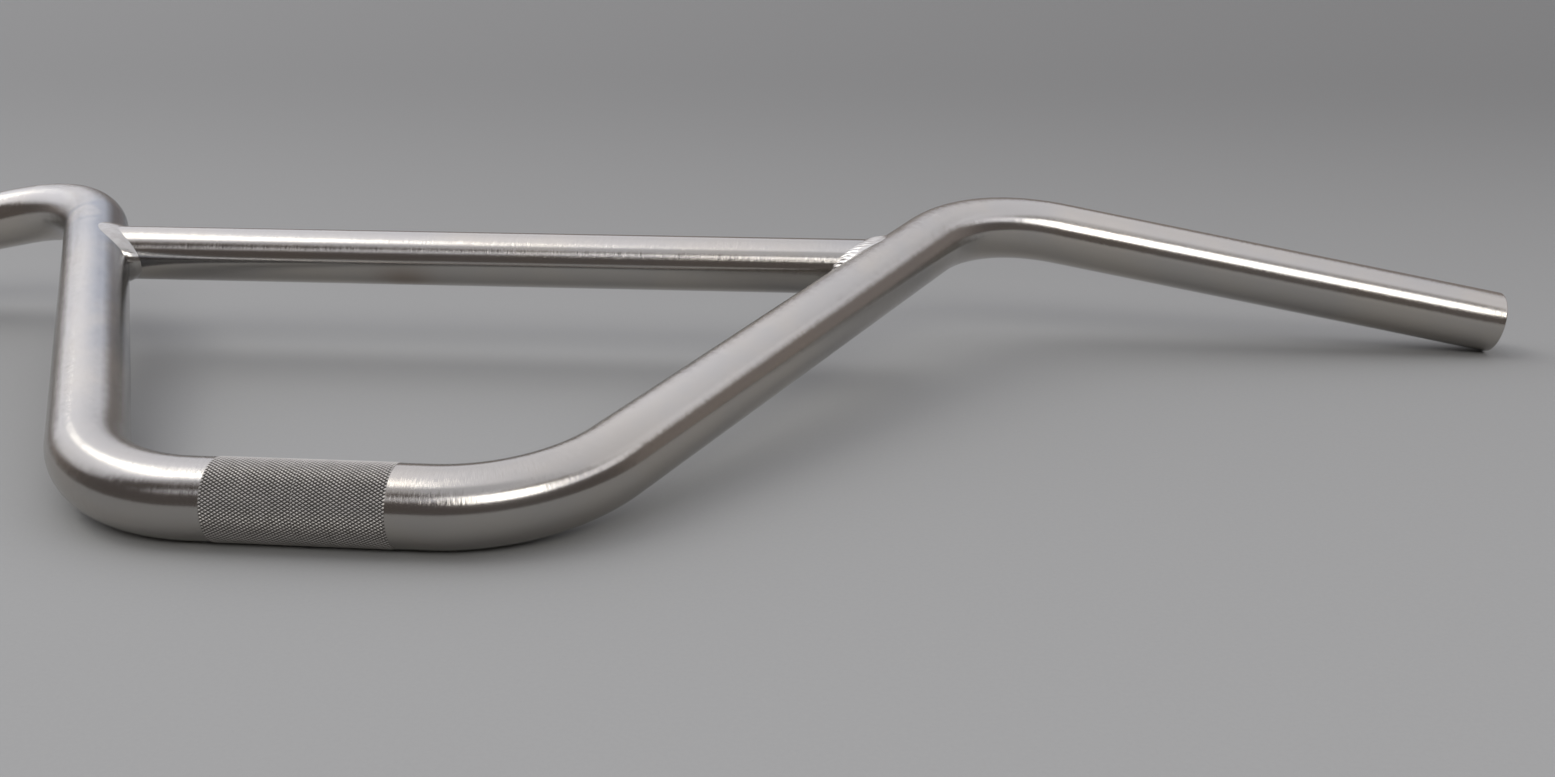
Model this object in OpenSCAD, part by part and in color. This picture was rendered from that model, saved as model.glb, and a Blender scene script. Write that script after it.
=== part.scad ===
// Handlebar of a small-wheeled bicycle: one thin tube bent four times, with a coped crossbar
// joined to its uprights by two rippled fillet beads. It lies on a floor, on the underside of its
// clamp section and on the lowest points of its two end rims.
// The origin is the centre of the clamp section. X runs along that section, Y from it towards
// the grips, and Z is up.

/* [Bent tube] */
// Outside diameter of the bent tube
tube_od = 22.2; // [20:0.1:25.4]
// Wall of the bent tube
tube_wall = 1.4; // [1:0.1:2.5]
// Length of the straight section in the middle, which a stem clamps
clamp_l = 64; // [54:1:100]
// Centreline radius of the two lower bends
lower_bend_r = 48; // [40:1:70]
// Angle that each lower bend turns through
lower_bend_angle = 62.5; // [54:0.5:70]
// Length of the straight part of each upright
upright_l = 176; // [120:1:220]
// Centreline radius of the two upper bends
upper_bend_r = 55; // [40:1:70]
// Length of the straight part that each grip slides onto
grip_l = 163.5; // [120:0.5:200]
// Angle by which the grips are swept back, towards the rider
back_sweep = 11.3; // [6:0.1:14]
// Angle by which the grips rise towards their ends
up_sweep = 0; // [0:0.5:3]
// Amount by which bending draws the wall thinner, on its outer and on its inner face
bend_thinning = 0.005; // [0.004:0.001:0.05]
// Rounding of the outer edge of each end rim
rim_round = 0.5; // [0.2:0.05:0.6]
// Chamfer of the inner edge of each end rim
rim_chamfer = 0.3; // [0.1:0.05:0.35]

/* [Crossbar] */
// Outside diameter of the crossbar
cross_od = 19.05; // [15:0.05:19.1]
// Wall of the crossbar
cross_wall = 1.2; // [0.9:0.1:2.5]
// Distance along the upright from the upper bend down to the crossbar's axis
cross_drop = 23; // [20:0.5:80]
// Gap left between the crossbar's coped ends and the uprights, bridged by the beads
cope_gap = 0.05; // [0.05:0.05:0.3]

/* [Weld beads] */
// Width that each bead covers on either tube
bead_leg = 2.9; // [2:0.1:3.5]
// Height of the bead over the straight line between its two toes
bead_crown = 0.35; // [0.25:0.05:0.8]
// Distance from one ripple of the bead to the next
ripple_pitch = 1.6; // [1.2:0.1:2.4]
// Height of a ripple from its hollow to its crest
ripple_h = 0.3; // [0.1:0.05:0.4]
// Gap between a bead's underside and the tubes
bead_seat = 0.02; // [0.02:0.01:0.05]

/* [Hidden] */
$fn = 96;

tube_r = tube_od / 2;
tube_bore_r = tube_r - tube_wall;
cross_r = cross_od / 2;
// Straight stretches run this far into the bends, where the thinner wall hides inside theirs
lap = 0.2;

// Each upper bend turns the tube from the upright's direction to the grip's. The tube is first
// rolled about its own axis, so that this bend leaves the plane of the lower one.
upper_bend_angle = acos(cos(back_sweep) * cos(lower_bend_angle - up_sweep));
upper_bend_roll = atan2(-sin(back_sweep), -cos(back_sweep) * sin(lower_bend_angle - up_sweep));

// The grip's direction and the centre of the end rim, in the plane of clamp section and uprights:
// sideways, up the plane, and out of it
grip_dir = [cos(back_sweep) * cos(up_sweep), cos(back_sweep) * sin(up_sweep), -sin(back_sweep)];
upright_dir = [cos(lower_bend_angle), sin(lower_bend_angle), 0];
rim_at = [clamp_l / 2 + lower_bend_r * sin(lower_bend_angle), lower_bend_r * (1 - cos(lower_bend_angle)), 0]
    + upright_l * upright_dir
    + upper_bend_r * tan(upper_bend_angle / 2) * (upright_dir + grip_dir)
    + grip_l * grip_dir;

// The bar tips about its clamp section until the end rims come down to the level of that section's
// underside. A rim's lowest point lies below its centre by the radius times the grip's levelness,
// and that depends on the tilt, so the tilt is improved in a few rounds.
rim_reach = norm([rim_at.y, rim_at.z]);
function levelness(tilt) = norm([grip_dir.x, grip_dir.y * cos(tilt) - grip_dir.z * sin(tilt)]);
function settled(tilt, rounds) = rounds == 0 ? tilt : settled(
    atan2(-rim_at.z, rim_at.y) - asin(tube_r * (1 - levelness(tilt)) / rim_reach), rounds - 1);
rest_tilt = settled(0, 6);

// The crossbar's axis crosses the upright's axis here
joint_along = upright_l - cross_drop;
joint_y = lower_bend_r * (1 - cos(lower_bend_angle)) + joint_along * sin(lower_bend_angle);
joint_x = clamp_l / 2 + lower_bend_r * sin(lower_bend_angle) + joint_along * cos(lower_bend_angle);

// Section of the bent tube, with its wall thinned on both faces
module tube_section(thinning = 0) {
    difference() {
        circle(tube_r - thinning);
        circle(tube_bore_r + thinning);
    }
}

// Straight stretch along +Z
module feed(length) {
    translate([0, 0, -lap]) linear_extrude(length + 2 * lap) tube_section();
}

// Bend that starts along +Z and turns towards +X
module bend(radius, angle) {
    translate([radius, 0, 0]) rotate([90, 0, 180])
        rotate_extrude(angle = angle) translate([radius, 0]) tube_section(bend_thinning);
}

// Carries its children to the end of such a bend
module past_bend(radius, angle) {
    translate([radius * (1 - cos(angle)), 0, radius * sin(angle)]) rotate([0, angle, 0]) children();
}

// Lays the bar's plane down at the angle at which it rests
module at_rest() {
    rotate([rest_tilt, 0, 0]) children();
}

// Stands children that run along +Z on the end of the clamp section, heading outwards
module from_clamp_end() {
    translate([clamp_l / 2, 0, 0]) rotate([90, 0, 90]) children();
}

// Does the same for what runs along the upright
module along_upright() {
    from_clamp_end() past_bend(lower_bend_r, lower_bend_angle) children();
}

// Grip length with its outer edge rounded and its inner edge chamfered at the end
module grip_end() {
    rotate_extrude() polygon(concat(
        [[tube_bore_r, -lap], [tube_r, -lap]],
        [for (a = [0:15:90]) [tube_r - rim_round * (1 - cos(a)), grip_l - rim_round * (1 - sin(a))]],
        [[tube_bore_r + rim_chamfer, grip_l], [tube_bore_r, grip_l - rim_chamfer]]));
}

// One side of the bent tube, from the clamp section to the end rim
module arm() {
    from_clamp_end() bend(lower_bend_r, lower_bend_angle);
    along_upright() {
        feed(upright_l);
        translate([0, 0, upright_l]) rotate([0, 0, upper_bend_roll]) {
            bend(upper_bend_r, upper_bend_angle);
            past_bend(upper_bend_r, upper_bend_angle) grip_end();
        }
    }
}

module main_tube() {
    color([0.66, 0.64, 0.63]) at_rest() union() {
        translate([-clamp_l / 2, 0, 0]) rotate([90, 0, 90]) feed(clamp_l);
        arm();
        mirror([1, 0, 0]) arm();
    }
}

module crossbar() {
    color([0.64, 0.62, 0.61]) at_rest() difference() {
        translate([-joint_x, joint_y, 0]) rotate([90, 0, 90]) linear_extrude(2 * joint_x) difference() {
            circle(cross_r);
            circle(cross_r - cross_wall);
        }
        along_upright() cylinder(h = upright_l, r = tube_r + cope_gap);
        mirror([1, 0, 0]) along_upright() cylinder(h = upright_l, r = tube_r + cope_gap);
    }
}

// The bead follows the saddle curve in which the two tubes' skins meet. It is worked out about the
// point where their axes cross, at each angle phi round the crossbar, with the seat gap added to
// both radii.
seat_tube_r = tube_r + bead_seat;
seat_cross_r = cross_r + bead_seat;

// Point on the upright's skin, at a distance s along its axis and q round its skin, where q is 0
// on the side that faces the other upright
function on_upright(s, q) =
    let (beta = q / seat_tube_r * 180 / PI, w = -seat_tube_r * cos(beta))
    [s * cos(lower_bend_angle) + w * sin(lower_bend_angle),
     s * sin(lower_bend_angle) - w * cos(lower_bend_angle),
     seat_tube_r * sin(beta)];

// The saddle curve, as s and q on the upright's skin
function saddle(phi) =
    let (y = seat_cross_r * sin(phi), z = seat_cross_r * cos(phi),
         x = (y * cos(lower_bend_angle) - sqrt(pow(seat_tube_r, 2) - z * z)) / sin(lower_bend_angle))
    [x * cos(lower_bend_angle) + y * sin(lower_bend_angle), seat_tube_r * asin(z / seat_tube_r) * PI / 180];

// A step of given length on the upright's skin, straight away from the middle of the joint
function outward_step(phi, length) =
    let (from_middle = saddle(phi) + [seat_tube_r / tan(lower_bend_angle), 0])
    from_middle * length / norm(from_middle);

// Ripples are bowed along the bead, with their crests ahead in its middle
ripples = round(PI * (cross_od + bead_leg) / ripple_pitch);
rings_per_ripple = 4;
skin_steps = 3;
cap_steps = 5;
ripple_bow = 0.35;
function cap_height(phi, v) =
    4 * v * (1 - v) * (bead_crown + ripple_h / 2 * cos(ripples * phi + 360 * ripple_bow * pow(2 * v - 1, 2)));

// One ring of the bead: out along the upright's skin, and back over the cap to the crossbar's toe
function bead_ring(phi) =
    let (root = saddle(phi), root_at = on_upright(root.x, root.y),
         skin = [for (k = [0:skin_steps])
             let (p = root + outward_step(phi, bead_leg * k / skin_steps)) on_upright(p.x, p.y)],
         toe = skin[skin_steps], cross_toe = root_at - [bead_leg, 0, 0],
         out = (toe + cross_toe) / 2 - root_at)
    concat(skin, [for (k = [1:cap_steps])
        let (v = k / cap_steps) toe * (1 - v) + cross_toe * v + cap_height(phi, v) * out / norm(out)]);

module bead() {
    ring_n = ripples * rings_per_ripple;
    side_n = skin_steps + 1 + cap_steps;
    points = [for (i = [0:ring_n - 1]) each bead_ring(360 * i / ring_n)];
    faces = [for (i = [0:ring_n - 1], k = [0:side_n - 1])
        let (i2 = (i + 1) % ring_n, k2 = (k + 1) % side_n,
             a = i * side_n + k, b = i * side_n + k2, c = i2 * side_n + k2, d = i2 * side_n + k)
        each [[a, b, c], [a, c, d]]];
    translate([joint_x, joint_y, 0]) polyhedron(points, faces);
}

module right_weld() {
    color([0.62, 0.61, 0.62]) at_rest() bead();
}

module left_weld() {
    color([0.62, 0.61, 0.62]) at_rest() mirror([1, 0, 0]) bead();
}

main_tube();
crossbar();
left_weld();
right_weld();
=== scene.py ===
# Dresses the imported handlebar: the bent tube with its knurled band, the coped crossbar and the two
# weld beads, on a grey paper floor under soft studio light. Lengths in the dictionaries are in mm.
import math

import bpy
import numpy as np
from mathutils import Matrix


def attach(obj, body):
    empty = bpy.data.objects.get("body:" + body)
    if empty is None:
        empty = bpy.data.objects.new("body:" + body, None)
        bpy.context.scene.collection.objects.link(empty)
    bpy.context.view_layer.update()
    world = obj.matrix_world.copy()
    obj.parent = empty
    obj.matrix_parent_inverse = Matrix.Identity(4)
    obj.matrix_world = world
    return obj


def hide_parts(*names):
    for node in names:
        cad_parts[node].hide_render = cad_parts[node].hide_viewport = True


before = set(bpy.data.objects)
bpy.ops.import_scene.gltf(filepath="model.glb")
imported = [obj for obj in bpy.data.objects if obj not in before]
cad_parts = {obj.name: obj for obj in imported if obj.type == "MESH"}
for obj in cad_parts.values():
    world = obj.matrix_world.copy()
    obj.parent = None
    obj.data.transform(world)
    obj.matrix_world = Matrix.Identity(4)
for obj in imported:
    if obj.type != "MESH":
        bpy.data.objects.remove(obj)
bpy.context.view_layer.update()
mm = 0.001
sharpAngle = math.radians(35)          # between two faces, from which their edge is a sharp one
print("frame loaded:", sorted(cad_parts))


class Value:
    # wraps one output socket, and + - * / and ** on it add Math nodes

    def __init__(self, nodes, socket):
        self.nodes = nodes
        self.socket = socket

    def math(self, operation, *terms):
        return self.nodes.add("ShaderNodeMath", {"operation": operation}, dict(enumerate(terms)))

    def __add__(self, other):
        return self.math("ADD", self, other)

    def __sub__(self, other):
        return self.math("SUBTRACT", self, other)

    def __rsub__(self, other):
        return self.math("SUBTRACT", other, self)

    def __mul__(self, other):
        return self.math("MULTIPLY", self, other)

    def __truediv__(self, other):
        return self.math("DIVIDE", self, other)

    def __pow__(self, other):
        return self.math("POWER", self, other)

    __radd__ = __add__
    __rmul__ = __mul__


class Nodes:
    # builds one node tree

    def __init__(self, tree):
        tree.nodes.clear()
        self.tree = tree

    def add(self, kind, settings=None, inputs=None, output=0):
        # one node: its settings first, then the values or links of its sockets
        node = self.tree.nodes.new(kind)
        for name, setting in (settings or {}).items():
            setattr(node, name, setting)
        for name, value in (inputs or {}).items():
            if isinstance(value, Value):
                self.tree.links.new(value.socket, node.inputs[name])
            else:
                node.inputs[name].default_value = value
        return Value(self, node.outputs[output]) if node.outputs else node

    def step(self, value, low, high):
        # rises smoothly from 0 at low to 1 at high
        return self.add(
            "ShaderNodeMapRange", {"interpolation_type": "SMOOTHSTEP"},
            {"Value": value, "From Min": low, "From Max": high})

    def between(self, value, low, high, soft):
        # 1 from low to high, with soft edges
        return self.step(value, low - soft, low + soft) * (1 - self.step(value, high - soft, high + soft))

    def bump(self, value, centre, width):
        # bell curve of that half width round a centre
        away = (value - centre) / width
        return self.add("ShaderNodeMath", {"operation": "EXPONENT"}, {0: away * away * -1.0})

    def noise(self, vector, scale, detail):
        return self.add("ShaderNodeTexNoise", {}, {"Vector": vector, "Scale": scale, "Detail": detail})

    def stretched(self, vector, stretch):
        # the same place with each axis scaled on its own
        return self.add("ShaderNodeVectorMath", {"operation": "MULTIPLY"}, {0: vector, 1: stretch})

    def mixed(self, factor, first, second):
        return self.add(
            "ShaderNodeMix", {"data_type": "RGBA"}, {0: factor, 6: first, 7: second}, output=2)

    def parts(self, vector):
        node = self.add("ShaderNodeSeparateXYZ", {}, {"Vector": vector}).socket.node
        return [Value(self, socket) for socket in node.outputs]

    def attribute(self, name):
        return self.add("ShaderNodeAttribute", {"attribute_name": name}, output=1)


def newMaterial(name):
    material = bpy.data.materials.new(name)
    material.use_nodes = True
    return material, Nodes(material.node_tree)


def finishMaterial(nodes, constants, varied):
    # one Principled shader: constants on its own sockets, and what varies linked in
    shader = nodes.add("ShaderNodeBsdfPrincipled", {}, {**constants, **varied})
    nodes.add("ShaderNodeOutputMaterial", {}, {"Surface": shader})


def makePiece(name, points, faces, material, attributes=None, smooth=True):
    # a mesh object at the origin, from points in mm and lists of corner numbers
    points = points.reshape(-1, 3) * mm
    mesh = bpy.data.meshes.new(name)
    mesh.from_pydata(points.tolist(), [], faces)
    for label, values in (attributes or {}).items():
        layer = mesh.attributes.new(label, "FLOAT_VECTOR", "POINT")
        layer.data.foreach_set("vector", values.astype(np.float32).ravel())
    if smooth:
        mesh.shade_smooth()
        mesh.set_sharp_from_angle(angle=sharpAngle)
    mesh.materials.append(material)
    mesh.validate()
    piece = bpy.data.objects.new(name, mesh)
    bpy.context.scene.collection.objects.link(piece)
    print(name, "has", sum(len(face) - 2 for face in faces), "triangles")
    return piece


def ringQuads(rowCount, columnCount):
    # corner numbers of a grid that closes on itself both ways
    row, column = np.meshgrid(np.arange(rowCount), np.arange(columnCount), indexing="ij")
    nextRow, nextColumn = (row + 1) % rowCount, (column + 1) % columnCount
    corners = [(row, column), (nextRow, column), (nextRow, nextColumn), (row, nextColumn)]
    return np.stack([r * columnCount + c for r, c in corners], axis=-1).reshape(-1, 4)


def turnedOut(points, quads):
    # turns all faces round if the closed surface holds a negative volume
    a, b, c, d = np.moveaxis(points.reshape(-1, 3)[quads], 1, 0)
    volume = np.einsum("ij,ij->", a, np.cross(b, c)) + np.einsum("ij,ij->", a, np.cross(c, d))
    return quads if volume > 0 else quads[:, ::-1]


bar = {                          # the bent tube's own measures, and how it lies
    "radius": 11.1,
    "boreRadius": 9.7,
    "clampHalf": 32.0,
    "lowerBendRadius": 48.0,
    "lowerBendAngle": math.radians(62.5),
    "uprightLength": 176.0,
    "upperBendRadius": 55.0,
    "gripLength": 163.5,
    "backSweep": math.radians(11.3),
    "restTilt": math.radians(10.282348),
    "rimRound": 0.5,
    "rimChamfer": 0.3,
    "jointAlong": 153.0,         # from the lower bend to the crossbar's axis, along the upright
}
upright = np.array([math.cos(bar["lowerBendAngle"]), math.sin(bar["lowerBendAngle"]), 0.0])
grip = np.array([math.cos(bar["backSweep"]), 0.0, -math.sin(bar["backSweep"])])
outOfPlane = np.array([0.0, 0.0, 1.0])
upperBendAngle = math.acos(upright @ grip)
bendInwards = (grip - (grip @ upright) * upright) / math.sin(upperBendAngle)
bendAxis = np.cross(upright, bendInwards)
stretchLengths = np.array([
    bar["clampHalf"],
    bar["lowerBendRadius"] * bar["lowerBendAngle"],
    bar["uprightLength"],
    bar["upperBendRadius"] * upperBendAngle,
    bar["gripLength"],
])
stretchStarts = np.concatenate([[0.0], np.cumsum(stretchLengths)[:-1]])
barHalf = stretchLengths.sum()


def layDown(points):
    # turns the bar's own plane about X, to the angle at which the bar lies on the floor
    c, s = math.cos(bar["restTilt"]), math.sin(bar["restTilt"])
    x, y, z = np.moveaxis(points, -1, 0)
    return np.stack([x, c * y - s * z, s * y + c * z], axis=-1)


def tubePath(s):
    # Centreline at the signed distance s from the middle, with the direction along it and two
    # directions across it that never twist. The distance run in each stretch, clipped to that
    # stretch, gives its share of the way: straight ones along their direction, bends by sine and
    # versine of the angle turned. The right half is worked out, and mirrored where s is below 0.
    run = np.clip(np.abs(s)[:, None] - stretchStarts, 0, stretchLengths)
    low, high = run[:, 1] / bar["lowerBendRadius"], run[:, 3] / bar["upperBendRadius"]
    sinLow, cosLow, sinHigh, cosHigh = (f(a)[:, None] for a in (low, high) for f in (np.sin, np.cos))
    sideways, upwards = np.array([1.0, 0.0, 0.0]), np.array([0.0, 1.0, 0.0])
    centre = (
        run[:, :1] * sideways
        + bar["lowerBendRadius"] * (sinLow * sideways + (1 - cosLow) * upwards)
        + run[:, 2:3] * upright
        + bar["upperBendRadius"] * (sinHigh * upright + (1 - cosHigh) * bendInwards)
        + run[:, 4:] * grip)
    along = cosHigh * (cosLow * sideways + sinLow * upwards) + sinHigh * bendInwards
    across = (outOfPlane @ bendAxis) * bendAxis + (outOfPlane @ bendInwards) * (
        cosHigh * bendInwards - sinHigh * upright)
    side = np.cross(across, along)
    mirror = np.where(s[:, None] < 0, [[-1.0, 1.0, 1.0]], 1.0)
    along = along * mirror * np.where(s[:, None] < 0, -1.0, 1.0)
    return centre * mirror, along, across * mirror, side * mirror


def tubeSkin(s, radius, columnCount):
    # Skin round the centreline: centre + radius * (cosine * across + sine * side). It also returns
    # the place in the tube's own straightened coordinates, and the direction along the tube.
    angle = np.linspace(0, 2 * math.pi, columnCount, endpoint=False)
    centre, along, across, side = tubePath(s)
    around = np.cos(angle)[None, :, None] * across[:, None] + np.sin(angle)[None, :, None] * side[:, None]
    points = centre[:, None] + radius[:, None, None] * around
    straightened = np.stack([
        np.broadcast_to(s[:, None], points.shape[:2]),
        radius[:, None] * np.cos(angle),
        radius[:, None] * np.sin(angle)], axis=-1)
    alongs = np.broadcast_to(along[:, None], points.shape)
    return layDown(points), straightened * mm, layDown(alongs)


brushed = {
    "warm": (0.50, 0.468, 0.425),        # the metal drifts between warm and cool
    "cool": (0.47, 0.45, 0.425),
    "tint": (0.30, 0.315, 0.345),        # heat colour beside the welds, and the colour of the painted shade on the tube's inner side
    "smudge": (0.30, 0.25, 0.21),
    "fineWidth": 0.03,                   # mm along the tube from one brush line to the next
    "fineSpread": 0.012,                 # the lines are this much finer along the tube than round it
    "fineSlope": 1.0,
    "streakWidth": 0.25,
    "streakSpread": 0.05,
    "streakSlope": 0.1,
    "cloudSpread": 0.6,
    "cloudScale": 45.0,                  # per metre
    "cloudEdges": (0.35, 0.65),          # of the noise, from warm to cool
    "roughness": 0.15,
    "roughnessSpread": 0.08,
    "clampShadeFrom": 55.0,                 # mm from the middle, where the painted shade round the clamp section starts to fade
    "clampShadeTo": 110.0,
    "jointHeat": 0.15,
    "jointHeatHalf": 12.0,
    "heatAndShadeEdges": (0.2, 0.6),             # of the noise, from none of the heat colour and painted shade to all of it
    "shadedSideFrom": -1.7,                  # mm across the tube, from where its inner side begins, which takes painted shade
    "shadedSideTo": 5.0,
    "smudgeHalf": (10.0, 6.0),
    "smudgeLeast": 0.5,                  # its strength, and how much the noise adds
    "smudgeMore": 0.6,
}


def brushedMetal(name, share, jointPlace, heatAndShadePlaces=(), paintedClampShade=0.0, smudgePlace=None):
    # Bare metal, brushed round the tube. Fine lines tilt the normal along the tube only, which draws
    # highlights out along it, as a brushed tube's are.
    material, nodes = newMaterial(name)
    place = nodes.attribute("straightened")
    alongTube = nodes.attribute("alongTube")

    def lines(kind, detail):
        spread = brushed[kind + "Spread"]
        return nodes.noise(
            nodes.stretched(place, (1, spread, spread)), 1 / (brushed[kind + "Width"] * mm), detail)

    clouds = nodes.noise(
        nodes.stretched(place, (brushed["cloudSpread"], 1, 1)), brushed["cloudScale"], 3.0)
    slope = (
        (lines("fine", 3.0) - 0.5) * brushed["fineSlope"]
        + (lines("streak", 2.0) - 0.5) * brushed["streakSlope"])
    tilted = nodes.add(
        "ShaderNodeVectorMath", {"operation": "SCALE"}, {0: alongTube, "Scale": slope})
    normal = nodes.add("ShaderNodeNewGeometry", output=1)
    normal = nodes.add("ShaderNodeVectorMath", {"operation": "ADD"}, {0: normal, 1: tilted})
    normal = nodes.add("ShaderNodeVectorMath", {"operation": "NORMALIZE"}, {0: normal})

    warm, cool = ([channel * share for channel in brushed[shade]] + [1] for shade in ("warm", "cool"))
    colour = nodes.mixed(nodes.step(clouds, *brushed["cloudEdges"]), warm, cool)
    s, height, depth = nodes.parts(place)
    distance = s.math("ABSOLUTE", s)
    # painted shade: the clamp section, which lies on the floor, is painted darker, fading out along the
    # tube
    if paintedClampShade:
        far = nodes.step(distance, brushed["clampShadeFrom"] * mm, brushed["clampShadeTo"] * mm)
        colour = nodes.mixed((1 - far) * paintedClampShade, colour, (0, 0, 0, 1))
    heatAndShade = nodes.bump(distance, jointPlace * mm, brushed["jointHeatHalf"] * mm) * brushed["jointHeat"]
    # painted shade: the tube's inner side is painted darker in the heat colour, by each place's last
    # share
    paintedShadeInside = nodes.step(depth, brushed["shadedSideFrom"] * mm, brushed["shadedSideTo"] * mm)
    for heatAndShadePlace, heatAndShadeHalf, heatShare, insideShadeShare in heatAndShadePlaces:
        heatAndShade = heatAndShade + nodes.bump(s, heatAndShadePlace * mm, heatAndShadeHalf * mm) * (heatShare + paintedShadeInside * insideShadeShare)
    colour = nodes.mixed(heatAndShade * nodes.step(clouds, *brushed["heatAndShadeEdges"]), colour, brushed["tint"] + (1,))
    if smudgePlace is not None:
        smudge = [
            nodes.bump(value, centre * mm, half * mm)
            for value, centre, half in zip((s, height), smudgePlace, brushed["smudgeHalf"])]
        strength = clouds * brushed["smudgeMore"] + brushed["smudgeLeast"]
        colour = nodes.mixed(smudge[0] * smudge[1] * strength, colour, brushed["smudge"] + (1,))
    roughness = brushed["roughness"] + (clouds - 0.5) * brushed["roughnessSpread"]
    finishMaterial(
        nodes, {"Metallic": 1.0},
        {"Base Color": colour, "Roughness": roughness, "Normal": normal})
    return material


knurlMetal = {
    "tooth": (0.52, 0.495, 0.47),
    "worn": (0.45, 0.43, 0.405),
    # painted shade in the grooves between the teeth
    "groove": (0.07, 0.065, 0.06),
    "edge": 0.02,                        # mm from the groove and from the crest, where the shades end
    "patchScale": 300.0,                 # per metre
    "patchEdges": (0.3, 0.7),
    "grainScale": 4000.0,
    "grain": 0.3,
    "roughness": 0.52,
    "metallic": 0.95,
}


def knurledMetal(name):
    # Matt teeth that differ a little from patch to patch, and grooves between them painted dark as
    # painted shade.
    # The depth is read off the distance from the clamp section's axis, which is the X axis.
    material, nodes = newMaterial(name)
    place = nodes.add("ShaderNodeTexCoord", output=3)
    patches = nodes.noise(place, knurlMetal["patchScale"], 3.0)
    grain = nodes.noise(place, knurlMetal["grainScale"], 2.0)
    y, z = nodes.parts(place)[1:]
    radius = (y * y + z * z) ** 0.5
    worn, tooth, groove = (knurlMetal[shade] + (1,) for shade in ("worn", "tooth", "groove"))
    colour = nodes.mixed(nodes.step(patches, *knurlMetal["patchEdges"]), worn, tooth)
    bottom, crest = knurl["groove"] + knurlMetal["edge"], knurl["crest"] - knurlMetal["edge"]
    # painted shade: below the crests the colour goes over to the dark groove colour
    colour = nodes.mixed(nodes.step(radius, bottom * mm, crest * mm), groove, colour)
    roughness = knurlMetal["roughness"] + (grain - 0.5) * knurlMetal["grain"]
    finishMaterial(
        nodes, {"Metallic": knurlMetal["metallic"]}, {"Base Color": colour, "Roughness": roughness})
    return material


weldMetal = {
    "light": (0.57, 0.55, 0.52),
    "dark": (0.51, 0.485, 0.455),
    "patchScale": 400.0,
    "patchEdges": (0.35, 0.65),
    "roughness": 0.2,
    "roughnessSpread": 0.2,
    # painted shade and light: the left bead is painted darker and the right one a little lighter than the
    # same weld metal
    "share": {"left": 0.75, "right": 1.05},
}


def weldedMetal(name, share):
    # Bright, bare bead, with a faint grain
    material, nodes = newMaterial(name)
    place = nodes.add("ShaderNodeTexCoord", output=3)
    patches = nodes.noise(place, weldMetal["patchScale"], 3.0)
    dark, light = ([channel * share for channel in weldMetal[shade]] + [1] for shade in ("dark", "light"))
    colour = nodes.mixed(nodes.step(patches, *weldMetal["patchEdges"]), dark, light)
    roughness = weldMetal["roughness"] + (patches - 0.5) * weldMetal["roughnessSpread"]
    finishMaterial(nodes, {"Metallic": 1.0}, {"Base Color": colour, "Roughness": roughness})
    return material


bentTube = {
    "columns": 128,
    "bendRows": 64,
    "straightStep": 14.0,
    "boreBendRows": 24,
    "rimSteps": 6,
    "dipRadius": 10.75,      # the skin dips to this under the knurled band
    "dipFrom": 8.0,
    "dipSlope": (0.3, 0.12), # and comes up again between these distances from the band's end
    "bandSpace": 2.0,        # from the band to the skin's next ring
    "boreFrom": 5.0,
    "boreSpace": 2.0,
    "heatAndShade": [                # places of heat colour and painted shade along it: half width, heat share, and painted shade on the inner side; the last place is painted shade only
        (-260.0, 2.0, 0.5, 0.3), (-253.0, 8.0, 0.4, 0.3), (-245.0, 1.4, 0.35, 0.2),
        (-250.0, 30.0, 0.35, 0.25), (-180.0, 75.0, 0.0, 1.0)],
    "paintedClampShade": 0.17,         # painted shade: how much darker the tube is painted round the clamp section, where it lies on the floor
}
knurl = {
    "left": -24.5,           # ends of the band along the tube
    "right": 23.5,
    "seam": -0.4,            # where its two passes meet
    "starts": 72,
    "pitch": 1.58,           # from one diamond to the next along the tube
    "groove": 11.0,
    "crest": 11.22,
    "topShare": 0.32,        # of a diamond, flat at its crest
    "runOut": 0.4,           # past the band's own ends
    "endRadius": 11.09,
    "seamRunOut": 0.06,
    "seamRadius": 11.06,
    "innerRadius": 10.4,
}


def stretchPlaces(bendRows, straightStep, first, last):
    # distances from first to last: even steps in each stretch, close together in the bends
    counts = np.where([False, True, False, True, False], bendRows, np.ceil(stretchLengths / straightStep))
    places = [
        start + length * np.arange(1, int(count) + 1) / count
        for start, length, count in zip(stretchStarts, stretchLengths, counts)]
    places = np.concatenate(places)
    return np.concatenate([[first], places[(places > first + 0.5) & (places < last - 0.5)], [last]])


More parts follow.
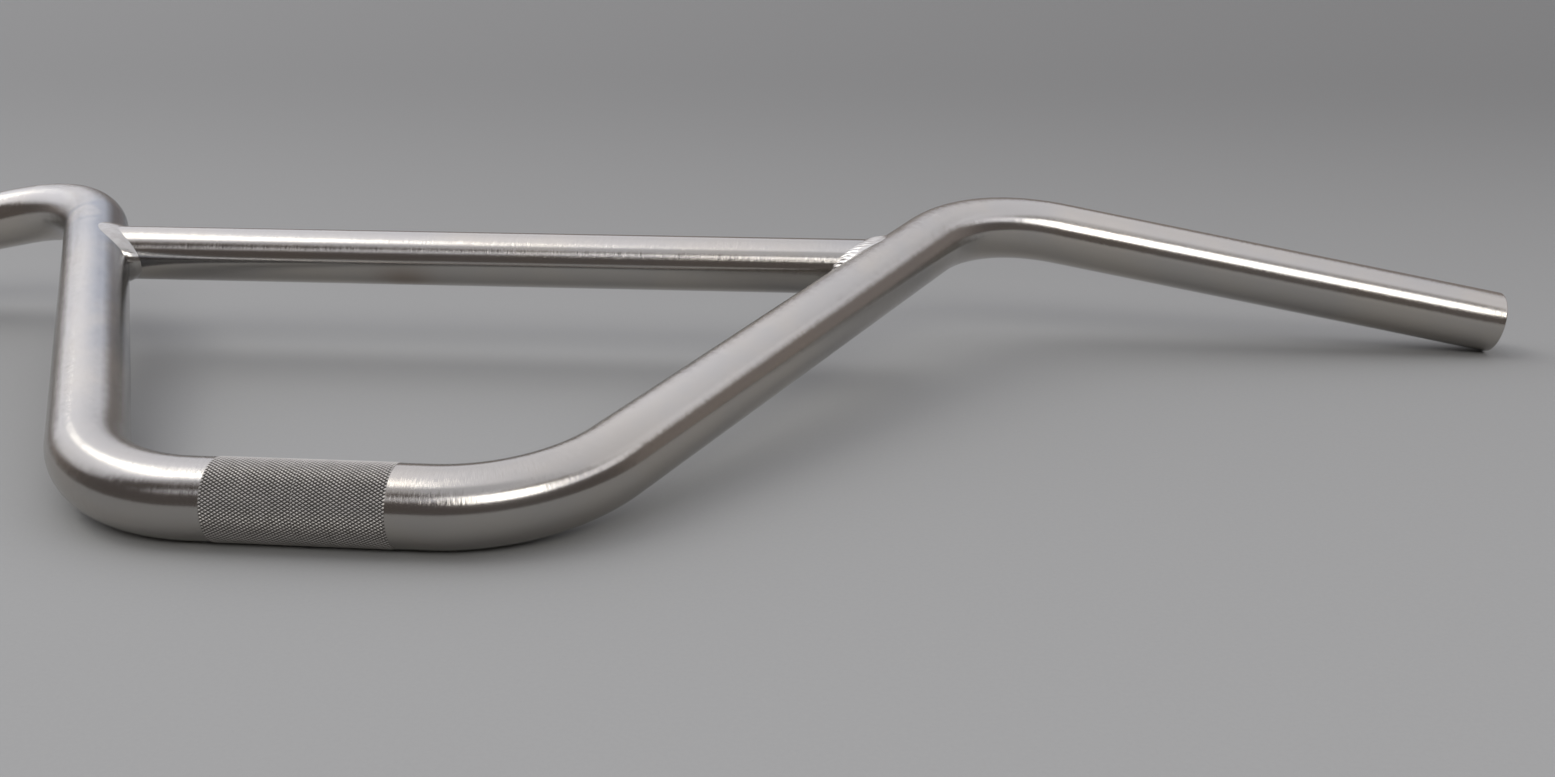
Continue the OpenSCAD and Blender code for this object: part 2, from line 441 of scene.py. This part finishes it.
def tubeProfile():
    # One closed line along the tube, as distance s and radius: out along the skin from the middle,
    # over the rounded rim, back down the bore, and the same mirrored. The skin dips under the band.
    outerEnd = barHalf - bar["rimRound"]
    outer = stretchPlaces(
        bentTube["bendRows"], bentTube["straightStep"], knurl["right"] + bentTube["bandSpace"], outerEnd)
    turn = np.linspace(0, math.pi / 2, bentTube["rimSteps"] + 1)[1:]
    rimS = barHalf - bar["rimRound"] * (1 - np.sin(turn))
    rimR = bar["radius"] - bar["rimRound"] * (1 - np.cos(turn))
    chamferS = np.array([barHalf, barHalf - bar["rimChamfer"]])
    chamferR = np.array([bar["boreRadius"] + bar["rimChamfer"], bar["boreRadius"]])
    bore = stretchPlaces(
        bentTube["boreBendRows"], 2 * bentTube["straightStep"],
        bentTube["boreFrom"], barHalf - bentTube["boreSpace"])[::-1]
    sideS = np.concatenate([outer, rimS, chamferS, bore])
    sideR = np.concatenate([
        np.full(len(outer), bar["radius"]), rimR, chamferR, np.full(len(bore), bar["boreRadius"])])
    dipR = np.array([bentTube["dipRadius"], bentTube["dipRadius"], bar["radius"]])
    dipS = {}
    for side in ("left", "right"):
        bandEnd = abs(knurl[side]) + knurl["runOut"]
        dipS[side] = np.array([bentTube["dipFrom"]] + [bandEnd - slope for slope in bentTube["dipSlope"]])
    s = np.concatenate([dipS["right"], sideS, -sideS[::-1], -dipS["left"][::-1]])
    radius = np.concatenate([dipR, sideR, sideR[::-1], dipR[::-1]])
    return s, radius


s, radius = tubeProfile()
points, straightened, alongTube = tubeSkin(s, radius, bentTube["columns"])
jointPlace = stretchStarts[2] + bar["jointAlong"]
tubeFinish = brushedMetal("brushed_tube", 1.0, jointPlace, bentTube["heatAndShade"], bentTube["paintedClampShade"])
tube = makePiece(
    "bent_tube", points, turnedOut(points, ringQuads(len(s), bentTube["columns"])).tolist(),
    tubeFinish, {"straightened": straightened, "alongTube": alongTube})
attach(tube, "root")
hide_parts("main_tube")


def knurledPass(low, high, turn, lowOut, highOut):
    # One pass of diamonds from low to high along the tube, as a closed ring. Its points lie on a
    # lattice of rows along the tube and columns round it, at the angle column * half a diamond.
    # Where row and column add up to an even number two grooves cross, and where they add up to an
    # odd one a diamond has its middle, with four corners round its flat top. Past each end the
    # grooves run out on a ring, given as its distance from the end and its radius.
    columns = 2 * knurl["starts"]
    rows = 2 * round((high - low) / knurl["pitch"])
    halfPitch = (high - low) / rows
    halfTurn = math.pi / knurl["starts"]

    def ring(u, angle, radius):
        u, angle, radius = np.broadcast_arrays(u, angle, radius)
        return np.stack([u, radius * np.sin(angle), radius * np.cos(angle)], axis=-1)

    row, column = np.meshgrid(np.arange(rows + 1), np.arange(columns), indexing="ij")
    isTop = (row + column) % 2 == 1
    angle = (column + turn) * halfTurn
    u = np.linspace(low, high, rows + 1)[row]
    reach = knurl["topShare"] * halfPitch
    swing = knurl["topShare"] * halfTurn
    corners = {
        "left": ring(np.maximum(u - reach, low), angle, knurl["crest"]),
        "right": ring(np.minimum(u + reach, high), angle, knurl["crest"]),
        "down": ring(u, angle - swing, knurl["crest"]),
        "up": ring(u, angle + swing, knurl["crest"])}
    around = (np.arange(columns) + turn) * halfTurn
    ends = [
        ring(low, around, knurl["innerRadius"]),
        ring(low - lowOut[0], around, lowOut[1]),
        ring(high + highOut[0], around, highOut[1]),
        ring(high, around, knurl["innerRadius"])]
    lattice = ring(u, angle, knurl["groove"]).reshape(-1, 3)
    points = np.concatenate([lattice] + [corner[isTop] for corner in corners.values()] + ends)

    base = np.arange(row.size).reshape(row.shape)
    count = isTop.sum()
    number = np.full(row.shape, -1)
    number[isTop] = np.arange(count)
    first = {side: row.size + n * count for n, side in enumerate(corners)}
    innerLow, rimLow, rimHigh, innerHigh = (row.size + 4 * count + n * columns for n in range(4))

    def top(side, rowNumbers, columnNumbers):
        return first[side] + number[rowNumbers, columnNumbers]

    r, c = np.nonzero(isTop)
    groups = [[top(side, r, c) for side in ("left", "down", "right", "up")]]
    for rowStep, endSide in ((1, "right"), (-1, "left")):      # the four flanks of each diamond
        for columnStep, upSide in ((1, "up"), (-1, "down")):
            within = (r + rowStep >= 0) & (r + rowStep <= rows)
            rr, cc = r[within], c[within]
            flank = [
                top(endSide, rr, cc), base[rr + rowStep, cc],
                base[rr, (cc + columnStep) % columns], top(upSide, rr, cc)]
            groups.append(flank if rowStep == columnStep else flank[::-1])
    for end, rim, endSide in ((0, rimLow, "left"), (rows, rimHigh, "right")):
        c = np.nonzero(isTop[end])[0]
        before, after = (c - 1) % columns, (c + 1) % columns
        middle, lower, upper = (top(side, end, c) for side in (endSide, "down", "up"))
        fan = [
            [rim + before, base[end, before], lower, rim + c],
            [rim + c, lower, middle],
            [rim + c, middle, upper],
            [rim + c, upper, base[end, after], rim + after]]
        groups += fan if end == 0 else [face[::-1] for face in fan]
    c, after = np.arange(columns), (np.arange(columns) + 1) % columns
    for one, other in ((innerLow, rimLow), (rimHigh, innerHigh), (innerHigh, innerLow)):
        groups.append([one + c, other + c, other + after, one + after])
    faces = [face for group in groups for face in np.stack(group, axis=-1).tolist()]
    return points, faces


bandOut = (knurl["runOut"], knurl["endRadius"])
seamOut = (knurl["seamRunOut"], knurl["seamRadius"])
passes = [
    knurledPass(knurl["left"], knurl["seam"], 0.0, bandOut, seamOut),
    knurledPass(knurl["seam"], knurl["right"], 0.5, seamOut, bandOut)]
points = layDown(np.concatenate([each[0] for each in passes]))
faces = passes[0][1] + [[corner + len(passes[0][0]) for corner in face] for face in passes[1][1]]
knurlFinish = knurledMetal("knurled_metal")
band = makePiece("knurled_band", points, faces, knurlFinish, smooth=False)
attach(band, "root")


crossbar = {
    "radius": 9.525,
    "boreRadius": 8.325,
    "copeGap": 0.05,
    "columns": 128,
    "rows": 24,
    "shade": 0.9,            # how bright its metal is beside the bent tube's
    "heatInwards": 12.0,     # from the joint's place to the middle of the heat colour
    "smudge": (-27.0, -5.0), # place of the smudge, along it and in height
}
sinLower, cosLower = math.sin(bar["lowerBendAngle"]), math.cos(bar["lowerBendAngle"])
jointX = bar["clampHalf"] + bar["lowerBendRadius"] * sinLower + bar["jointAlong"] * cosLower
jointY = bar["lowerBendRadius"] * (1 - cosLower) + bar["jointAlong"] * sinLower


def copedEnd(phi, radius):
    # How far out a line of the crossbar's skin runs, until it meets the upright's skin: the joint's
    # place, plus the line's height times the cosine of the upright's angle, less the root of the
    # upright's radius squared less the line's depth squared, both over the sine of that angle.
    reach = bar["radius"] + crossbar["copeGap"]
    across = np.sqrt(reach ** 2 - (radius * np.cos(phi)) ** 2)
    return jointX + (radius * np.sin(phi) * cosLower - across) / sinLower


def crossbarSkin():
    # Skin out from the left cope to the right one, and back along the bore: each line round the
    # section is shared out evenly between its own two ends.
    phi = np.linspace(0, 2 * math.pi, crossbar["columns"], endpoint=False)
    share = np.linspace(-1, 1, crossbar["rows"] + 1)
    share = np.concatenate([share, share[::-1]])[:, None]
    radius = np.repeat([crossbar["radius"], crossbar["boreRadius"]], crossbar["rows"] + 1)[:, None]
    x = share * copedEnd(phi, radius)
    straightened = np.stack([x, radius * np.cos(phi) + 0 * x, radius * np.sin(phi) + 0 * x], axis=-1)
    points = np.stack([x, jointY + radius * np.sin(phi) + 0 * x, radius * np.cos(phi) + 0 * x], axis=-1)
    return layDown(points), straightened * mm


points, straightened = crossbarSkin()
alongTube = np.broadcast_to([1.0, 0.0, 0.0], points.shape)
crossbarFinish = brushedMetal(
    "brushed_crossbar", crossbar["shade"], jointX - crossbar["heatInwards"],
    smudgePlace=crossbar["smudge"])
straightTube = makePiece(
    "coped_crossbar", points, turnedOut(points, ringQuads(*points.shape[:2])).tolist(),
    crossbarFinish, {"straightened": straightened, "alongTube": alongTube})
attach(straightTube, "root")
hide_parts("crossbar")


bead = {
    "leg": 2.9,              # on the upright
    "crossLeg": 4.6,
    "crown": 0.25,
    "seat": 0.02,
    "ripples": 43,
    "rippleHeight": {"left": 0.035, "right": 0.34},
    "rippleBow": 0.35,
    "ringsPerRipple": 16,
    "capSteps": 16,
    "skinSteps": 3,
}


def beadSurface(rippleHeight):
    # The bead follows the saddle curve in which the two skins meet, at each angle phi round the
    # crossbar. From that curve it runs out along the upright's skin by its leg, straight away from
    # the joint's middle, and back to the crossbar's skin over a cap. The cap is the straight line
    # between the two toes, raised by a parabola times the crown and a row of rounded ripples, which
    # are bowed forward in their middle.
    seatTube, seatCross = bar["radius"] + bead["seat"], crossbar["radius"] + bead["seat"]
    ringCount = bead["ripples"] * bead["ringsPerRipple"]
    phi = np.linspace(0, 2 * math.pi, ringCount, endpoint=False)[:, None]
    y, z = seatCross * np.sin(phi), seatCross * np.cos(phi)
    x = (y * cosLower - np.sqrt(seatTube ** 2 - z ** 2)) / sinLower
    rootAlong, rootAround = x * cosLower + y * sinLower, seatTube * np.arcsin(z / seatTube)
    awayAlong, awayAround = rootAlong + seatTube * cosLower / sinLower, rootAround
    awayLength = np.hypot(awayAlong, awayAround)

    def onUpright(along, around):
        beta = around / seatTube
        w = -seatTube * np.cos(beta)
        return np.stack([
            along * cosLower + w * sinLower,
            along * sinLower - w * cosLower,
            seatTube * np.sin(beta)], axis=-1)

    step = np.linspace(0, bead["leg"], bead["skinSteps"] + 1)
    skin = onUpright(
        rootAlong + awayAlong * step / awayLength,
        rootAround + awayAround * step / awayLength)
    root, toe = skin[:, :1], skin[:, -1:]
    crossToe = root - [bead["crossLeg"], 0, 0]
    out = (toe + crossToe) / 2 - root
    out = out / np.linalg.norm(out, axis=-1, keepdims=True)
    v = np.linspace(0, 1, bead["capSteps"] + 1)[1:]
    wave = bead["ripples"] * phi / 2 + math.pi * bead["rippleBow"] * (2 * v - 1) ** 2
    ripple = np.abs(np.cos(wave)) - 0.5
    height = 4 * v * (1 - v) * (bead["crown"] + rippleHeight * ripple)
    cap = toe * (1 - v[:, None]) + crossToe * v[:, None] + height[..., None] * out
    points = np.concatenate([skin, cap], axis=1)
    return points + [jointX, jointY, 0]


for side, mirror in (("left", -1.0), ("right", 1.0)):
    points = layDown(beadSurface(bead["rippleHeight"][side]) * [mirror, 1, 1])
    quads = turnedOut(points, ringQuads(*points.shape[:2]))
    # painted shade on the left bead and painted light on the right one, by their shares
    weldFinish = weldedMetal(side + "_weld_bead", weldMetal["share"][side])
    weld = makePiece(side + "_bead", points, quads.tolist(), weldFinish)
    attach(weld, "root")
    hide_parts(side + "_weld")


stage = {
    "floorHalf": 9000.0,
    "near": 0.315,                     # grey of the paper at the bar
    "far": 0.19,                       # and well behind it, darker there by painted light fall-off
    "fadeFrom": -0.25,                 # painted light fall-off: the paper darkens from here on Y to there, in metres
    "fadeTo": 1.4,
    "fadePower": 1.4,
    "sideFade": 0.4,                   # painted shade: how much darker it is on the right than on the left, at the back
    "sideFrom": 0.5,                   # metres in front of the bar, where that shade fans out from
    "sideSlope": 0.9,                  # and the slope to either side at which it ends
    "tone": (1.0, 0.997, 0.975),
    "backdrop": 0.24,                  # what the camera sees over the floor's far edge
    "frontDrop": 0.36,                 # and over its near edge, seen from behind
    "dropEdge": 0.5,                   # either side of 0 on the direction's Y, one fades into the other
    "fibreScale": 900.0,
    "fibre": 0.06,
    "roughness": 0.85,
    "specular": 0.2,
}


def paperFloor():
    # Grey paper with painted light fall-off: it darkens towards the back, and there more to the right
    material, nodes = newMaterial("paper_floor")
    place = nodes.add("ShaderNodeTexCoord", output=3)
    x, y = nodes.parts(place)[:2]
    fibre = nodes.noise(place, stage["fibreScale"], 3.0)
    near = (1 - nodes.step(y, stage["fadeFrom"], stage["fadeTo"])) ** stage["fadePower"]
    grey = stage["far"] + (stage["near"] - stage["far"]) * near
    sideways = x / (y.math("MAXIMUM", y, 0.0) + stage["sideFrom"])
    aside = nodes.step(sideways, -stage["sideSlope"], stage["sideSlope"]) - 0.5
    grey = grey * (1 - aside * stage["sideFade"] * (1 - near)) * (1 + (fibre - 0.5) * stage["fibre"])
    colour = nodes.add("ShaderNodeVectorMath", {"operation": "SCALE"}, {0: stage["tone"], "Scale": grey})
    finishMaterial(
        nodes, {"Roughness": stage["roughness"], "Specular IOR Level": stage["specular"]},
        {"Base Color": colour})
    return material


half = stage["floorHalf"]
level = -knurl["crest"]
corners = np.array([
    [-half, -half, level], [half, -half, level], [half, half, level], [-half, half, level]])
floor = makePiece("floor", corners, [[0, 1, 2, 3]], paperFloor(), smooth=False)

light = {
    "roofLeft": 1.16,
    "roofRight": 0.95,
    "roofSides": (-3.0, 1.9, 0.25),    # left, right, soft, on a ceiling one unit up
    "roofNear": (-0.6, -0.2),
    "roofFar": (1.6, 2.8),             # nearer on the right than on the left, by the slant
    "roofSlant": 0.7,
    "roofFront": 0.82,                 # a darker stretch of it, towards the front
    "roofFrontRise": (44, 56),         # degrees up
    "roofFrontTurn": (-75, -35),
    "halo": 0.6,                       # round the key light
    "haloHalf": (1.0, 0.6),            # along and across that light
    "key": 4.4,
    "keyCentre": (-0.78, 0.2),
    "keyAlong": (-0.6, 0.8),
    "keyHalf": (0.55, 0.17),
    "keySoft": (0.12, 0.1),
    "frontStrip": 1.6,
    "frontStripFrom": -6,              # degrees from the front, where it has that strength
    "frontStripRise": 0.028,           # and what each further degree adds
    "frontStripEnds": (-36, 6, 4),
    "frontStripHeight": (42, 54, 4),
    "frontStripSlope": 0.5,
    "room": 0.12,
    "behind": 0.26,
    "behindEdges": (-0.2, 0.4),
    "roomTint": (1.1, 0.98, 0.94),
    "roofTint": (0.97, 0.98, 1.05),
    "panelTint": (1.01, 1.0, 0.97),
    "roofGlow": (0.3, 0.7),            # strengths over which the tints change
    "panelGlow": (1.6, 3.2),
    "wings": [                         # left, right, low, high, soft across, soft up, strength
        (-78, -42, 9, 60, 8, 9, 1.35),
        (50, 76, 28, 43, 6, 4, 1.12),
        (82, 110, 45, 53, 6, 3, 1.12)],
    "frontPanels": [                   # the same, with angles from the front
        (3, 46, 27, 46, 3, 2, 5.2),
        (44, 96, 26.5, 40, 6, 2, 1.4)],
}


def studioWorld():
    # Light by direction: soft panels over a dim room, and the brightest one shows. Azimuth runs
    # clockwise from straight behind the bar, seen from above, and fromFront the other way round
    # from the front. Overhead directions are read where they cross a ceiling one unit up.
    world = bpy.data.worlds.new("studio")
    bpy.context.scene.world = world
    world.use_nodes = True
    nodes = Nodes(world.node_tree)
    x, y, z = nodes.parts(nodes.add("ShaderNodeTexCoord", output=0))
    elevation = z.math("ARCSINE", z) * (180 / math.pi)
    azimuth = x.math("ARCTAN2", x, y) * (180 / math.pi)
    fromFront = x.math("ARCTAN2", x, y * -1.0) * (180 / math.pi)
    up = z.math("MAXIMUM", z, 0.05)
    ceilingX, ceilingY = x / up, y / up

    roof = nodes.between(ceilingX, *light["roofSides"]) * nodes.step(ceilingY, *light["roofNear"])
    roof = roof * (1 - nodes.step(ceilingY + ceilingX * light["roofSlant"], *light["roofFar"]))
    toRight = nodes.step(ceilingX, -1.0, 1.0)
    roofLevel = light["roofLeft"] + (light["roofRight"] - light["roofLeft"]) * toRight
    keyX, keyY = ceilingX - light["keyCentre"][0], ceilingY - light["keyCentre"][1]
    alongX, alongY = light["keyAlong"]
    alongKey, acrossKey = keyX * alongX + keyY * alongY, keyX * alongY - keyY * alongX
    haloAlong, haloAcross = (
        nodes.bump(value, 0, half) for value, half in zip((alongKey, acrossKey), light["haloHalf"]))
    halo = haloAlong * haloAcross * light["halo"]
    insideAlong, insideAcross = (
        nodes.between(value, -half, half, soft)
        for value, half, soft in zip((alongKey, acrossKey), light["keyHalf"], light["keySoft"]))
    key = insideAlong * insideAcross
    roofFront = (
        nodes.step(elevation, *light["roofFrontRise"]) * nodes.step(fromFront, *light["roofFrontTurn"]))
    slanted = elevation - fromFront * light["frontStripSlope"]
    frontStrip = (
        nodes.between(fromFront, *light["frontStripEnds"])
        * nodes.between(slanted, *light["frontStripHeight"]))
    stripLevel = light["frontStrip"] + (fromFront - light["frontStripFrom"]) * light["frontStripRise"]
    behind = nodes.step(y, *light["behindEdges"])
    roomLevel = light["room"] + (light["behind"] - light["room"]) * behind
    glows = [roof * (roofLevel + halo), roofFront * light["roofFront"], key * light["key"]]
    for across, panels in ((azimuth, light["wings"]), (fromFront, light["frontPanels"])):
        for left, right, low, high, softAcross, softUp, strength in panels:
            wide = nodes.between(across, left, right, softAcross)
            glows.append(wide * nodes.between(elevation, low, high, softUp) * strength)
    glows += [frontStrip * stripLevel, roomLevel]
    glow = glows[0]
    for each in glows[1:]:
        glow = glow.math("MAXIMUM", glow, each)

    roomTint, roofTint, panelTint = (light[name] + (1,) for name in ("roomTint", "roofTint", "panelTint"))
    tint = nodes.mixed(nodes.step(glow, *light["roofGlow"]), roomTint, roofTint)
    tint = nodes.mixed(nodes.step(glow, *light["panelGlow"]), tint, panelTint)
    shown = nodes.add("ShaderNodeLightPath", output=0)         # the backdrop, as it is seen
    atBack = nodes.step(y, -stage["dropEdge"], stage["dropEdge"])
    backdrop = stage["frontDrop"] + (stage["backdrop"] - stage["frontDrop"]) * atBack
    strength = glow * (1 - shown) + shown * backdrop
    tint = nodes.mixed(shown, tint, (1, 1, 1, 1))
    background = nodes.add("ShaderNodeBackground", {}, {"Color": tint, "Strength": strength})
    nodes.add("ShaderNodeOutputWorld", {}, {"Surface": background})


studioWorld()
bpy.context.scene.view_settings.view_transform = "Standard"

view = {
    "place": (158.198, -340.031, 142.323),
    "yaw": -0.107866,
    "pitch": 0.305628,
    "roll": -0.004366,
    "lens": 1478.69 * 36 / 1555,       # from the focal length in pixels of the photo's width
}
cameraData = bpy.data.cameras.new("camera")
cameraData.lens = view["lens"]
cameraData.sensor_width = 36
cameraData.clip_start = 0.01
cameraData.clip_end = 50
camera = bpy.data.objects.new("camera", cameraData)
bpy.context.scene.collection.objects.link(camera)
camera.matrix_world = (
    Matrix.Translation([length * mm for length in view["place"]])
    @ Matrix.Rotation(-view["yaw"], 4, "Z")
    @ Matrix.Rotation(math.pi / 2 - view["pitch"], 4, "X")
    @ Matrix.Rotation(view["roll"], 4, "Z"))
bpy.context.scene.camera = camera
print("stage set")
